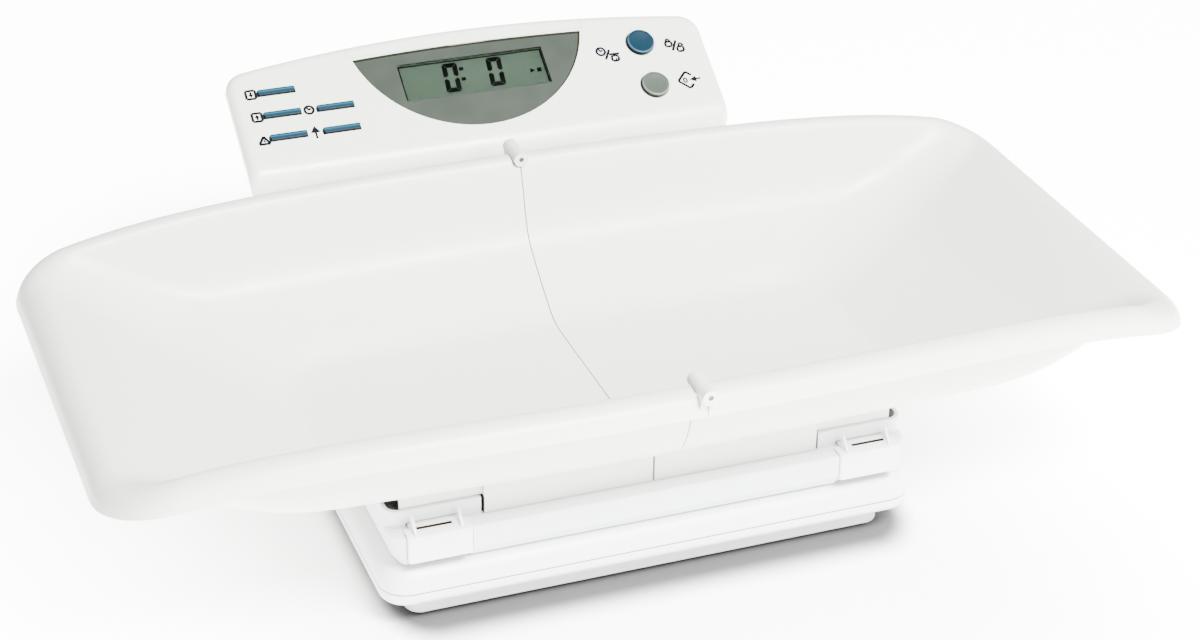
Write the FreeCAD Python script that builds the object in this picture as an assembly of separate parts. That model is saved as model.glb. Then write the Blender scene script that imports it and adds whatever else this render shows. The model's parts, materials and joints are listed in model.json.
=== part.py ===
import FreeCAD, Part
import os
import math

# Digital baby scale with a two-piece folding tray, a low weighing platform on a
# flat base, and a console with display and buttons on a riser behind the tray.
# Millimetres, +Z up, +X to the user's right, +Y away from the user.
# Everything is laid out about the tray's centre line and shifted at the end so
# that the origin is the middle of the footprint on the table.

V = FreeCAD.Vector
os.makedirs("parts", exist_ok=True)

# ---------------------------------------------------------------- dimensions
Y_SHIFT = -50.0            # tray centre to footprint centre

# tray
TRAY_L = 308.9             # half length over the lip
SEAM = 0.35                # half gap between the two tray halves
WALL_T = 3.0               # tray wall
HINGE_Z = 153.6            # fold axis height
KNUCKLE_R = 4.4
KNUCKLE_IN = 136.0         # inner end of the hinge barrel
KNUCKLE_MID = 150.0        # right knuckle ends here
KNUCKLE_OUT = 158.0        # outer end of the hinge barrel
PIN_R = 1.5
BORE_R = 1.55
GROOVE_R = 5.2
SKIRT_Y1, SKIRT_Y0 = 81.9, 79.7      # inner skirt, outside and inside face
SKIRT_X = 144.0            # outer end of the inner skirt
SKIRT_Z = 57.0             # bottom of the inner skirt
APRON_Y1, APRON_Y0 = 85.3, 81.7      # middle apron plate
APRON_X = 97.8
APRON_Z = 60.0

# platform
PLAT_X, PLAT_Y = 152.3, 96.3
PLAT_Z0, PLAT_Z1 = 39.8, 59.6
RING_Y = 84.4
RING_Z = 69.8
RING_T = 2.2
RING_R = 8.5               # corner radius of the ring
RING_GAP_X = 99.3          # the ring is open between these for the tray's aprons
DECK_Z = 55.0
PLATE_Z0, PLATE_Z1 = 49.4, 52.4

# base
BASE_X = 157.2
BASE_Y0, BASE_Y1 = -97.5, 235.0
BASE_R = 16.0
PART_Z = 24.4              # parting line between pan and cover
COVER_Z = 38.5
TUB_X, TUB_Y0, TUB_Y1 = 141.5, -86.5, 224.0
FOOT_Z = 3.0
UNDER_Z = 15.8
SHELL_T = 2.5

# console
FACE_Y, FACE_Z = 227.1, 176.5   # a point on the sloping face
FACE_A = 32.88                  # degrees from horizontal
CON_X = 155.5
SIDE_FLAT = 8.0                 # depth of the straight part of the sides
SIDE_TAPER = 0.24               # the sides close in by this much per mm of depth behind it
RIM_R = 7.5
TOP_S = 31.2                    # top edge of the face at the middle, along the slope
TOP_R = 940.0                   # radius of the bowed top edge
CON_Z0 = 110.0
CON_Y1 = 258.0
BUTTON_TRAVEL = 1.0
LENS_X, LENS_S, LENS_R = 0.4, 34.6, 77.2    # centre and radius of the display panel's lower edge
LENS_TOP, LENS_BOW = 16.1, 2.1              # its top edge at the corners, and the bow at the middle

CA, SA = math.cos(math.radians(FACE_A)), math.sin(math.radians(FACE_A))

parts = {}


# ---------------------------------------------------------------- helpers
def box(x0, x1, y0, y1, z0, z1):
    return Part.makeBox(x1 - x0, y1 - y0, z1 - z0, V(x0, y0, z0))


def cylz(x, y, z0, z1, r):
    return Part.makeCylinder(r, z1 - z0, V(x, y, z0), V(0, 0, 1))


def cyly(x, z, y0, y1, r):
    return Part.makeCylinder(r, y1 - y0, V(x, y0, z), V(0, 1, 0))


def cylx(y, z, x0, x1, r):
    return Part.makeCylinder(r, x1 - x0, V(x0, y, z), V(1, 0, 0))


def rwire(x0, x1, y0, y1, z, r):
    a = r * (1 - math.sqrt(0.5))
    def ln(p, q):
        return Part.LineSegment(V(*p, z), V(*q, z)).toShape()
    def ar(p, m, q):
        return Part.Arc(V(*p, z), V(*m, z), V(*q, z)).toShape()
    return Part.Wire([
        ln((x0 + r, y0), (x1 - r, y0)), ar((x1 - r, y0), (x1 - a, y0 + a), (x1, y0 + r)),
        ln((x1, y0 + r), (x1, y1 - r)), ar((x1, y1 - r), (x1 - a, y1 - a), (x1 - r, y1)),
        ln((x1 - r, y1), (x0 + r, y1)), ar((x0 + r, y1), (x0 + a, y1 - a), (x0, y1 - r)),
        ln((x0, y1 - r), (x0, y0 + r)), ar((x0, y0 + r), (x0 + a, y0 + a), (x0 + r, y0))])


def edges_at_z(shape, z):
    return [e for e in shape.Edges if all(abs(v.Z - z) < 1e-4 for v in e.Vertexes)
            and abs(e.BoundBox.ZMax - z) < 1e-3 and abs(e.BoundBox.ZMin - z) < 1e-3]


def rbox(x0, x1, y0, y1, z0, z1, r, rb=0, rt=0):
    s = Part.Face(rwire(x0, x1, y0, y1, z0, r)).extrude(V(0, 0, z1 - z0))
    if rb:
        s = s.makeFillet(rb, edges_at_z(s, z0))
    if rt:
        s = s.makeFillet(rt, edges_at_z(s, z1))
    return s


def loft(wires, ruled=True):
    return Part.makeLoft(wires, True, ruled)


def prism_x(pts, x0, x1):
    w = Part.makePolygon([V(x0, y, z) for y, z in pts] + [V(x0, *pts[0])])
    return Part.Face(w).extrude(V(x1 - x0, 0, 0))


def fuse(*s):
    out = s[0]
    if len(s) > 1:
        out = s[0].multiFuse(list(s[1:]))
    return out.removeSplitter()


def cut(a, *b):
    return a.cut(list(b)) if len(b) > 1 else a.cut(b[0])


def mirror_x(s):
    return s.mirror(V(0, 0, 0), V(1, 0, 0))


def group(*s):
    return Part.makeCompound(list(s))


def face_place(s):
    """Local (x, along the slope, outward) to the row."""
    s = s.copy()
    s.rotate(V(0, 0, 0), V(1, 0, 0), FACE_A)
    s.translate(V(0, FACE_Y, FACE_Z))
    return s


def put(name, shape):
    sh = shape.copy()
    sh.translate(V(0, Y_SHIFT, 0))
    parts[name] = sh


# ---------------------------------------------------------------- tray
# One level of the tray's surface is a closed line round it: half width at the
# middle, half length, loss of half width near the ends, corner radius, height
# on the long side and height on the end.
IN_LEVELS = [
    (60.0, 158.0, 0.5, 30.0, 73.4, 73.4), (69.5, 168.4, 1.5, 32.7, 73.8, 73.9),
    (79.4, 173.3, 10.0, 34.3, 76.4, 75.4), (90.1, 181.3, 19.6, 37.7, 82.7, 78.5),
    (109.1, 207.8, 14.1, 47.1, 96.0, 89.5), (122.1, 237.4, 11.1, 42.9, 107.3, 102.3),
    (127.6, 254.6, 11.1, 42.2, 118.1, 112.3), (131.3, 268.9, 12.5, 41.2, 130.3, 121.2),
    (137.4, 288.0, 14.3, 35.4, 148.0, 131.6), (138.9, 290.5, 14.6, 33.4, 150.9, 132.7),
    (140.3, 292.3, 14.7, 32.4, 152.5, 133.4), (142.5, 294.5, 14.8, 32.9, 153.1, 134.0),
    (145.5, 297.2, 15.0, 34.2, 153.2, 133.9), (149.0, 300.8, 15.1, 36.4, 152.4, 132.9),
    (152.5, 304.6, 15.1, 39.3, 150.2, 130.7), (154.8, 307.5, 15.1, 41.4, 146.8, 127.4),
    (155.7, TRAY_L, 15.1, 42.0, 141.3, 122.1)]
OUT_LEVELS = [
    (152.7, 305.9, 15.1, 39.5, 141.3, 122.1), (151.9, 304.9, 15.1, 38.9, 145.6, 126.0),
    (149.9, 302.7, 15.1, 37.2, 148.4, 128.7), (146.6, 299.2, 15.1, 35.2, 149.9, 130.4),
    (143.6, 296.0, 14.8, 34.4, 149.4, 130.7), (141.2, 292.0, 14.6, 35.0, 146.4, 129.2),
    (138.0, 283.5, 13.7, 39.0, 141.0, 125.8), (134.2, 270.4, 12.5, 42.5, 129.4, 118.6),
    (130.4, 256.1, 11.1, 43.5, 117.0, 109.7), (124.4, 238.7, 11.1, 44.0, 105.4, 99.6),
    (110.9, 209.0, 14.1, 48.0, 93.6, 86.7), (91.8, 182.4, 19.6, 38.5, 80.2, 75.7),
    (80.6, 174.3, 10.0, 35.0, 73.6, 72.6), (70.0, 168.8, 1.5, 33.0, 70.8, 70.9),
    (60.3, 158.3, 0.5, 30.0, 70.4, 70.4)]


REAR_TIGHT = 9.0           # the rim's rear corners are tighter than the front ones by this much


def level_line(lv, rear=False, nside=30, narc=9, nend=12):
    """Quarter line from the seam to the middle of the end."""
    b, a, bul, r, zm, ze = lv
    if rear:
        r -= REAR_TIGHT * min(1.0, max(0.0, (zm - 100.0) / 40.0))
    k = bul / 281.0 ** 2
    xt = a - r
    th = 0.0
    for _ in range(10):
        th = math.atan(2 * k * xt)
        xt = a - r + r * math.sin(th)
    yc = b - k * xt * xt - r * math.cos(th)
    def side_g(x):
        return 0.59 * (x / 281.0) ** 5.2
    g0 = side_g(xt)
    pts = []
    for i in range(nside):
        x = SEAM + (xt - SEAM) * i / nside
        pts.append((x, b - k * x * x, side_g(x)))
    for i in range(narc + 1):
        f = i / narc
        an = (math.pi / 2 - th) * (1 - f)
        g = g0 + (1 - g0) * f * (1 + f - f * f)
        pts.append((a - r + r * math.cos(an), yc + r * math.sin(an), g))
    for i in range(1, nend + 1):
        pts.append((a, yc * (1 - i / nend), 1.0))
    return [(x, y, zm - (zm - ze) * g) for x, y, g in pts]


def monotone(xs, ys, x):
    """Value at x of a monotone cubic through the points."""
    n = len(xs)
    h = [xs[i + 1] - xs[i] for i in range(n - 1)]
    d = [(ys[i + 1] - ys[i]) / h[i] for i in range(n - 1)]
    m = [d[0]] + [0.0 if d[i - 1] * d[i] <= 0 else
                  3 * (h[i - 1] + h[i]) / ((2 * h[i] + h[i - 1]) / d[i - 1] + (h[i] + 2 * h[i - 1]) / d[i])
                  for i in range(1, n - 1)] + [d[-1]]
    i = 0
    while i < n - 2 and x > xs[i + 1]:
        i += 1
    t = (x - xs[i]) / h[i]
    return ((2 * t ** 3 - 3 * t ** 2 + 1) * ys[i] + (t ** 3 - 2 * t ** 2 + t) * h[i] * m[i] +
            (3 * t ** 2 - 2 * t ** 3) * ys[i + 1] + (t ** 3 - t ** 2) * h[i] * m[i + 1])


def dense(levels, step):
    """Levels added between the given ones, so that none is further than step."""
    pos = [0.0]
    for a, b in zip(levels, levels[1:]):
        pos.append(pos[-1] + math.hypot(b[0] - a[0], b[4] - a[4]))
    out = []
    for i in range(len(levels) - 1):
        k = max(1, int(math.ceil((pos[i + 1] - pos[i]) / step)))
        for j in range(k):
            p = pos[i] + (pos[i + 1] - pos[i]) * j / k
            out.append(tuple(monotone(pos, [l[c] for l in levels], p) for c in range(6)))
    out.append(levels[-1])
    return out


def half_line(lv):
    front = [V(x, -y, z) for x, y, z in level_line(lv)]
    rear = [V(x, y, z) for x, y, z in reversed(level_line(lv, True)[:-1])]
    return front + rear


def sharpen(row):
    """Poles whose cubic runs through the given points, away from the ends."""
    out = list(row)
    for i in range(2, len(row) - 2):
        out[i] = row[i] - (row[i - 1] - row[i] * 2 + row[i + 1]) * (1 / 6.0)
    return out


def patch(levels):
    rows = [sharpen(half_line(l)) for l in dense(levels, 7.0)]
    cols = [sharpen([r[c] for r in rows]) for c in range(len(rows[0]))]
    poles = [[cols[c][r] for c in range(len(cols))] for r in range(len(rows))]
    nu, nv = len(poles), len(poles[0])
    s = Part.BSplineSurface()
    s.buildFromPolesMultsKnots(poles, [4] + [1] * (nu - 4) + [4], [4] + [1] * (nv - 4) + [4],
                               [float(k) for k in range(nu - 2)], [float(k) for k in range(nv - 2)],
                               False, False, 3, 3)
    return s.toShape()


def edge_of(face, test):
    for e in face.Edges:
        pts = e.discretize(9)
        if all(test(p) for p in pts):
            return e
    raise RuntimeError("edge not found")


def tray_half():
    s1, s2 = patch(IN_LEVELS), patch(OUT_LEVELS)
    eps = 0.02
    def seam(sign):
        return lambda p: abs(p.x - SEAM) < eps and p.y * sign > 0
    zi, zb = IN_LEVELS[0][4], OUT_LEVELS[-1][4]
    e1f, e1r = edge_of(s1, seam(-1)), edge_of(s1, seam(1))
    e2f, e2r = edge_of(s2, seam(-1)), edge_of(s2, seam(1))
    floor = edge_of(s1, lambda p: abs(p.z - zi) < eps and not (abs(p.x - SEAM) < eps and abs(p.y) < 1))
    belly = edge_of(s2, lambda p: abs(p.z - zb) < eps)
    lip1 = edge_of(s1, lambda p: p.z < 141.31 and p.z > 121.0 and abs(p.y) + p.x > 150 and
                   (p.x > TRAY_L - 1 or abs(p.y) > 105) and e_far(p, IN_LEVELS[-1]))
    lip2 = edge_of(s2, lambda p: e_far(p, OUT_LEVELS[0]))
    lipface = Part.makeRuledSurface(lip1, lip2)
    def line(p, q):
        return Part.LineSegment(p, q).toShape()
    def end(edge, top):
        vs = sorted((v.Point for v in edge.Vertexes), key=lambda q: q.z)
        return vs[-1] if top else vs[0]
    fl = line(end(e1f, False), end(e1r, False))
    bl = line(end(e2f, False), end(e2r, False))
    lf = line(end(e1f, True), end(e2f, True))
    lr = line(end(e1r, True), end(e2r, True))
    f_floor = Part.Face(Part.Wire(Part.__sortEdges__([floor, fl])))
    f_belly = Part.Face(Part.Wire(Part.__sortEdges__([belly, bl])))
    f_seam = Part.Face(Part.Wire(Part.__sortEdges__([fl, e1f, lf, e2f, bl, e2r, lr, e1r])))
    sh = Part.Shell([s1, s2, lipface, f_floor, f_belly, f_seam])
    sh.sewShape()
    so = Part.Solid(sh if isinstance(sh, Part.Shell) else sh.Shells[0])
    if so.Volume < 0:
        so.reverse()
    return so


def e_far(p, lv):
    """True when a point lies on a level's line, by its plan shape."""
    q = level_line(lv, p.y > 0)
    best = 1e9
    for i in range(len(q) - 1):
        x0, y0, z0 = q[i]
        x1, y1, z1 = q[i + 1]
        dx, dy = x1 - x0, y1 - y0
        t = max(0.0, min(1.0, ((p.x - x0) * dx + (abs(p.y) - y0) * dy) / (dx * dx + dy * dy)))
        d = math.hypot(p.x - x0 - t * dx, abs(p.y) - y0 - t * dy) + abs(p.z - z0 - t * (z1 - z0))
        best = min(best, d)
    return best < 0.5


def both(f):
    """Front and rear copies of a shape made for the rear side."""
    s = f
    return [s, s.mirror(V(0, 0, 0), V(0, 1, 0))]


bowl = tray_half()
adds, cuts = [], []
adds += both(box(3.0, SKIRT_X, SKIRT_Y0, SKIRT_Y1, SKIRT_Z, 75.8))
adds += both(box(110.0, SKIRT_X, SKIRT_Y0, SKIRT_Y1, 74.0, 77.2))
for s in both(box(0.6, APRON_X, APRON_Y0, APRON_Y1, APRON_Z, 77.4)):
    adds.append(s)
for x in (3.0, 70.0):                                   # cross ribs
    adds.append(box(x, x + 2.2, -SKIRT_Y0 - 0.2, SKIRT_Y0 + 0.2, 62.0, 72.0))
# slanted lower corner of the skirt, so that the half can swing up out of the ring
tri = Part.Face(Part.makePolygon([V(138.6, -90, 56.0), V(150, -90, 56.0), V(150, -90, 71.4),
                                  V(138.6, -90, 56.0)])).extrude(V(0, 180, 0))
slot = both(box(110.0, 142.0, SKIRT_Y0 - 1, SKIRT_Y1 + 1, 59.4, 63.0))

tray_base = fuse(bowl, *[a.cut(tri) for a in adds])
# slits beside the aprons, where the skirt drops behind the platform's ring
slits = both(box(APRON_X, APRON_X + 2.4, SKIRT_Y0 - 1, SKIRT_Y1 + 1, SKIRT_Z - 1, 70.2))
tray_base = cut(tray_base, slot[1], *slits)


def knuckles(inner):
    y0, y1 = (KNUCKLE_IN, KNUCKLE_MID) if inner else (KNUCKLE_MID + 0.4, KNUCKLE_OUT)
    return [cyly(0, HINGE_Z, y0, y1, KNUCKLE_R), cyly(0, HINGE_Z, -y1, -y0, KNUCKLE_R)]


def webs(inner):
    if inner:
        p = [(139.2, 147.5), (KNUCKLE_MID, 149.0), (KNUCKLE_MID, HINGE_Z), (KNUCKLE_IN + 2.0, HINGE_Z)]
        s = prism_x(p, 0.8, KNUCKLE_R)
    else:
        p = [(KNUCKLE_MID + 0.4, 148.5), (154.3, 144.0), (155.3, 146.0), (156.2, HINGE_Z),
             (KNUCKLE_MID + 0.4, HINGE_Z)]
        s = prism_x(p, 0.8, KNUCKLE_R)
    return both(s)


bores = [cyly(0, HINGE_Z, KNUCKLE_IN - 2, KNUCKLE_OUT + 2, BORE_R),
         cyly(0, HINGE_Z, -KNUCKLE_OUT - 2, -KNUCKLE_IN + 2, BORE_R)]
groove_in = [cyly(0, HINGE_Z, KNUCKLE_IN - 3, KNUCKLE_MID + 0.35, GROOVE_R),
             cyly(0, HINGE_Z, -KNUCKLE_MID - 0.35, -KNUCKLE_IN + 3, GROOVE_R)]
groove_out = [cyly(0, HINGE_Z, KNUCKLE_MID + 0.05, KNUCKLE_OUT + 3, GROOVE_R),
              cyly(0, HINGE_Z, -KNUCKLE_OUT - 3, -KNUCKLE_MID - 0.05, GROOVE_R)]

right = cut(tray_base, *groove_out)
right = fuse(right, *(knuckles(True) + webs(True)))
right = cut(right, *bores)
put("tray_right", right)

left = cut(tray_base, *groove_in)
left = fuse(mirror_x(left), *([mirror_x(w) for w in webs(False)] + knuckles(False)))
left = cut(left, *bores)
put("tray_left", left)

put("hinge_pin_rear", cyly(0, HINGE_Z, KNUCKLE_IN + 0.4, KNUCKLE_OUT - 0.5, PIN_R))
put("hinge_pin_front", cyly(0, HINGE_Z, -KNUCKLE_OUT + 0.5, -KNUCKLE_IN - 0.4, PIN_R))

# ---------------------------------------------------------------- platform
def plat_outer():
    low = loft([rwire(-146.4, 146.4, -91.7, 91.7, PLAT_Z0, 7.0),
                rwire(-PLAT_X + 1.7, PLAT_X - 1.7, -PLAT_Y, PLAT_Y, 46.3, 11.0)])
    draft = loft([rwire(-PLAT_X + 1.7, PLAT_X - 1.7, -PLAT_Y, PLAT_Y, 46.3, 11.0),
                  rwire(-PLAT_X, PLAT_X, -PLAT_Y, PLAT_Y, 52.0, 14.0)])
    mid = rbox(-PLAT_X, PLAT_X, -PLAT_Y, PLAT_Y, 52.0, PLAT_Z1, 14.0, rt=1.6)
    ring = rbox(-PLAT_X, PLAT_X, -RING_Y, RING_Y, 57.0, RING_Z, RING_R, rt=0.5)
    return fuse(low, draft, mid, ring)


plat = plat_outer()
recess = rbox(-PLAT_X + RING_T, PLAT_X - RING_T, -RING_Y + RING_T, RING_Y - RING_T, DECK_Z, 80.0, RING_R - RING_T)
under = fuse(loft([rwire(-143.5, 143.5, -88.8, 88.8, PLAT_Z0 - 1, 4.0),
                   rwire(-PLAT_X + 4.3, PLAT_X - 4.3, -PLAT_Y + 2.6, PLAT_Y - 2.6, 47.0, 9.0)]),
             rbox(-PLAT_X + 4.3, PLAT_X - 4.3, -PLAT_Y + 2.6, PLAT_Y - 2.6, 47.0, 52.4, 9.0))
gutter = both(box(-140.0, 140.0, RING_Y + 0.2, PLAT_Y - 2.6, 52.0, 57.0))
plat = cut(plat, recess, under, *gutter)
# latch pockets in the front wall, with their floor and back
for sx in (-1, 1):
    x0, x1 = sorted((sx * 105.6, sx * 146.3))
    plat = fuse(plat, box(x0, x1, -PLAT_Y + 3.0, -87.6, 44.4, 57.2))
    x0, x1 = sorted((sx * 107.5, sx * 144.4))
    plat = cut(plat, box(x0, x1, -PLAT_Y - 2, -90.2, 38.0, 66.0))
    x0, x1 = sorted((sx * 110.4, sx * 141.6))
    plat = cut(plat, box(x0, x1, -RING_Y - 1, -RING_Y + RING_T + 1, 59.7, 62.5))
plat = cut(plat, *both(box(-RING_GAP_X, RING_GAP_X, RING_Y - RING_T - 1, RING_Y + 1, PLAT_Z1, 80.0)))
PLATE_SCREWS = [(sx * 108.0, sy * 52.0) for sx in (-1, 1) for sy in (-1, 1)]
for x, y in PLATE_SCREWS:
    plat = cut(plat, cylz(x, y, 50.0, 56.0, 2.1), cylz(x, y, 53.6, 56.0, 3.6))
put("platform_shell", plat)

plate = rbox(-125, 125, -70, 70, PLATE_Z0, PLATE_Z1, 8.0)
plate = cut(plate, *[cylz(x, y, 48, 54, 1.75) for x, y in PLATE_SCREWS])
plate = cut(plate, *[cylz(x, y, 48, 54, 2.2) for x, y in ((52.0, 0.0), (68.0, 0.0))],
            rbox(-90, -20, -40, -22, 48, 54, 5), rbox(-90, -20, 22, 40, 48, 54, 5))
put("platform_plate", plate)

put("plate_screws", group(*[fuse(cylz(x, y, 53.7, 55.0, 3.3), cylz(x, y, 48.0, 53.8, 1.7))
                            for x, y in PLATE_SCREWS]))
put("platform_pads", group(*[rbox(sx * 80 - 11, sx * 80 + 11, sy * 79.2 - 2.6, sy * 79.2 + 2.6, DECK_Z, 56.7, 2.0)
                             for sx in (-1, 1) for sy in (-1, 1)]))

# load cell and its blocks
CELL_Z0, CELL_Z1 = 11.0, 33.0
cell = box(-75, 75, -17, 17, CELL_Z0, CELL_Z1)
cell = cut(cell, fuse(cyly(-15, 22, -20, 20, 8.2), cyly(15, 22, -20, 20, 8.2), box(-15, 15, -20, 20, 17.5, 26.5)))
cell = cut(cell, *([cylz(x, 0, 10, 21, 2.3) for x in (-67, -52)] +
                   [cylz(x, 0, 24, 34, 2.3) for x in (52, 68)]))
put("load_cell", cell)
foot_block = cut(box(-75, -44, -17, 17, 5.5, CELL_Z0), cylz(-67, 0, 5, 12, 2.4), cylz(-52, 0, 5, 12, 2.4))
put("load_cell_foot_block", foot_block)
top_block = cut(box(44, 75, -17, 17, CELL_Z1, PLATE_Z0), cylz(52, 0, 32, 50, 2.4), cylz(68, 0, 32, 50, 2.4))
put("load_cell_top_block", top_block)
put("load_cell_screws_lower", group(*[fuse(cylz(x, 0, 3.2, 4.9, 4.2), cylz(x, 0, 4.8, 18.0, 2.15)) for x in (-67, -52)]))
put("load_cell_screws_upper", group(*[fuse(cylz(x, 0, 52.4, 54.9, 0.0 + 4.2).cut(cylz(x, 0, 54.0, 56, 2.0)),
                                           cylz(x, 0, 27.0, 52.6, 2.15)) for x in (52, 68)]))
# clear the platform shell over the upper screws
parts["platform_shell"] = parts["platform_shell"].cut(
    [cylz(x, Y_SHIFT, 51, 56, 4.6) for x in (52, 68)])

# ---------------------------------------------------------------- latches
def latch():
    x0, x1, yf = 107.9, 144.0, -97.6
    cap = prism_x([(-87.6, 43.9), (-87.6, 60.6), (yf, 60.6), (yf, 43.9)], x0, x1)
    front_edges = [e for e in cap.Edges if all(abs(v.Y - yf) < 1e-3 for v in e.Vertexes)]
    corner_edges = [e for e in cap.Edges if len(e.Vertexes) == 2 and abs(e.Vertexes[0].X - e.Vertexes[1].X) < 1e-3 and
                    abs(e.Vertexes[0].Z - e.Vertexes[1].Z) < 1e-3 and e.Vertexes[0].Z < 50]
    cap = cap.makeFillet(2.0, corner_edges)
    cap = cap.makeFillet(1.3, [e for e in cap.Edges if all(abs(v.Y - yf) < 1e-3 for v in e.Vertexes)])
    cap = cut(cap, box(x0 + 1.7, x1 - 1.7, yf + 1.7, -80.0, 40.0, 59.0), box(100, 150, -93.3, -80, 40, 59.9))
    tongue = box(111.4, 140.6, -92.0, -82.6, 59.9, 61.6)
    ribs = [prism_x([(-95.4, 60.2), (-87.6, 60.2), (-87.2, 68.2), (-88.2, 68.5), (-95.0, 61.2)], x, x + 1.3)
            for x in (112.4, 138.4)]
    s = fuse(cap, tongue, *ribs)
    return cut(s, box(117.8, 137.2, -91.0, -89.3, 58.0, 64.0))


put("latch_right", latch())
put("latch_left", mirror_x(latch()))

# ---------------------------------------------------------------- base
CASE_SCREWS = [(sx * 131.5, y) for sx in (-1, 1) for y in (-38.0, 78.0, 190.0)]
FEET = [(sx * 126.0, y) for sx in (-1, 1) for y in (-68.0, 206.0)]
PILLARS = [(sx * 115.0, sy * 60.0) for sx in (-1, 1) for sy in (-1, 1)]
RISER_SCREWS = [(sx * 80.0, y) for sx in (-1, 1) for y in (197.0, 220.0)]

pan = fuse(rbox(-BASE_X, BASE_X, BASE_Y0, BASE_Y1, UNDER_Z, PART_Z - 0.2, BASE_R, rb=5.0),
           rbox(-TUB_X, TUB_X, TUB_Y0, TUB_Y1, FOOT_Z, UNDER_Z + 1.0, 9.0, rb=2.0))
t = SHELL_T
pan = cut(pan, rbox(-BASE_X + t, BASE_X - t, BASE_Y0 + t, BASE_Y1 - t, UNDER_Z + t, PART_Z + 1, BASE_R - t, rb=2.5),
          rbox(-TUB_X + t, TUB_X - t, TUB_Y0 + t, TUB_Y1 - t, FOOT_Z + t, UNDER_Z + t + 0.5, 6.5))
pan = fuse(pan, *([cylz(x, y, FOOT_Z + 1, 20.0, 5.0) for x, y in CASE_SCREWS] +
                  [box(-100, 100, 150, 152, FOOT_Z + 1, 11), box(-100, 100, 100, 102, FOOT_Z + 1, 11),
                   box(-100, -98, 102, 150, FOOT_Z + 1, 11), box(98, 100, 102, 150, FOOT_Z + 1, 11)]))
pan = cut(pan, *([cylz(x, y, 2, 21, 1.7) for x, y in CASE_SCREWS] +
                 [cylz(x, y, 2, 6.6, 3.4) for x, y in CASE_SCREWS] +
                 [cylz(x, y, 2, 6, 3.1) for x, y in FEET] +
                 [cylz(x, 0, 2, 6, 2.4) for x in (-67, -52)] +
                 [cylz(x, 0, 2, 5.4, 4.6) for x in (-67, -52)]))
# a web that carries the load cell's foot over the screw recess
pan = fuse(pan, cut(box(-78, -41, -19, 19, 5.0, 5.5), cylz(-67, 0, 2, 6, 2.4), cylz(-52, 0, 2, 6, 2.4)))
put("base_bottom_pan", pan)

cover = rbox(-BASE_X, BASE_X, BASE_Y0, BASE_Y1, PART_Z + 0.2, COVER_Z, BASE_R, rt=13.0)
cover = cut(cover, rbox(-BASE_X + t, BASE_X - t, BASE_Y0 + t, BASE_Y1 - t, PART_Z - 1, COVER_Z - t, BASE_R - t, rt=10.5))
cover = fuse(cover, *[cylz(x, y, 20.3, COVER_Z - 1, 4.4) for x, y in CASE_SCREWS])
cover = cut(cover, *([cylz(x, y, 19, 33.5, 1.3) for x, y in CASE_SCREWS] +
                     [cylz(x, y, 30, 40, 6.4) for x, y in PILLARS] +
                     [rbox(38, 81, -24, 24, 30, 40, 5), rbox(-60, 60, 190, 224, 30, 40, 6)] +
                     [cylz(x, y, 30, 40, 1.6) for x, y in RISER_SCREWS]))
put("base_top_cover", cover)

put("base_screws", group(*[fuse(cylz(x, y, 4.4, 6.5, 3.1), cylz(x, y, 6.3, 31.0, 1.28)) for x, y in CASE_SCREWS]))
put("rubber_feet", group(*[fuse(cylz(x, y, 0, FOOT_Z, 9.0), cylz(x, y, FOOT_Z - 0.2, 7.2, 3.0)) for x, y in FEET]))
put("overload_pillars", group(*[fuse(cylz(x, y, FOOT_Z + t, 12.0, 7.0), cylz(x, y, 11.8, 47.6, 4.0)) for x, y in PILLARS]))

# ---------------------------------------------------------------- riser
def riser_solid(off):
    return loft([rwire(-114 + off, 114 - off, 183 + off, 231 - off, COVER_Z + 0.1 - (1 if off else 0), 15 - off),
                 rwire(-106 + off, 106 - off, 189 + off, 243 - off, CON_Z0 - 0.1 + (1 if off else 0), 15 - off)])


riser = riser_solid(0).cut(riser_solid(2.5))
posts = [cylz(x, y, COVER_Z + 0.1, 70.0, 4.2) for x, y in RISER_SCREWS]
posts += [box(x - 1.1, x + 1.1, 180.0, 197.0, COVER_Z + 0.1, 66.0) for x in (-80.0, 80.0)]
posts += [box(x - 1.1, x + 1.1, 219.0, 240.0, COVER_Z + 0.1, 66.0) for x in (-80.0, 80.0)]
riser = fuse(riser, *[p.common(riser_solid(0)) for p in posts])
riser = cut(riser, *[cylz(x, y, 36, 66, 1.25) for x, y in RISER_SCREWS])
SPLIT_Y = 208.5
put("riser_front_cover", riser.common(box(-130, 130, 150, SPLIT_Y - 0.12, 30, 120)))
put("riser_rear_cover", riser.common(box(-130, 130, SPLIT_Y + 0.12, 260, 30, 120)))
put("riser_screws", group(*[fuse(cylz(x, y, 33.4, 35.9, 3.3), cylz(x, y, 35.7, 60.0, 1.2)) for x, y in RISER_SCREWS]))

# ---------------------------------------------------------------- console
def offset_poly(pts, off):
    """Inward offset of a convex polygon given anticlockwise in (y, z)."""
    n = len(pts)
    lines = []
    for i in range(n):
        (y0, z0), (y1, z1) = pts[i], pts[(i + 1) % n]
        l = math.hypot(y1 - y0, z1 - z0)
        ny, nz = -(z1 - z0) / l, (y1 - y0) / l
        lines.append((y0 + ny * off, z0 + nz * off, (y1 - y0) / l, (z1 - z0) / l))
    out = []
    for i in range(n):
        a, b = lines[i - 1], lines[i]
        det = a[2] * b[3] - a[3] * b[2]
        t_ = ((b[0] - a[0]) * b[3] - (b[1] - a[1]) * b[2]) / det
        out.append((a[0] + a[2] * t_, a[1] + a[3] * t_))
    return out


def face_pt(s_, n_):
    return (FACE_Y + s_ * CA - n_ * SA, FACE_Z + s_ * SA + n_ * CA)


NOSE = face_pt(-60.0, 0.0)
TOPE = face_pt(TOP_S + 3.0, 0.0)
TOPB = (CON_Y1, TOPE[1] - 6.0)
PROFILE = [NOSE, (188.0, CON_Z0), (CON_Y1, CON_Z0), TOPB, TOPE]      # anticlockwise in (y, z)


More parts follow.
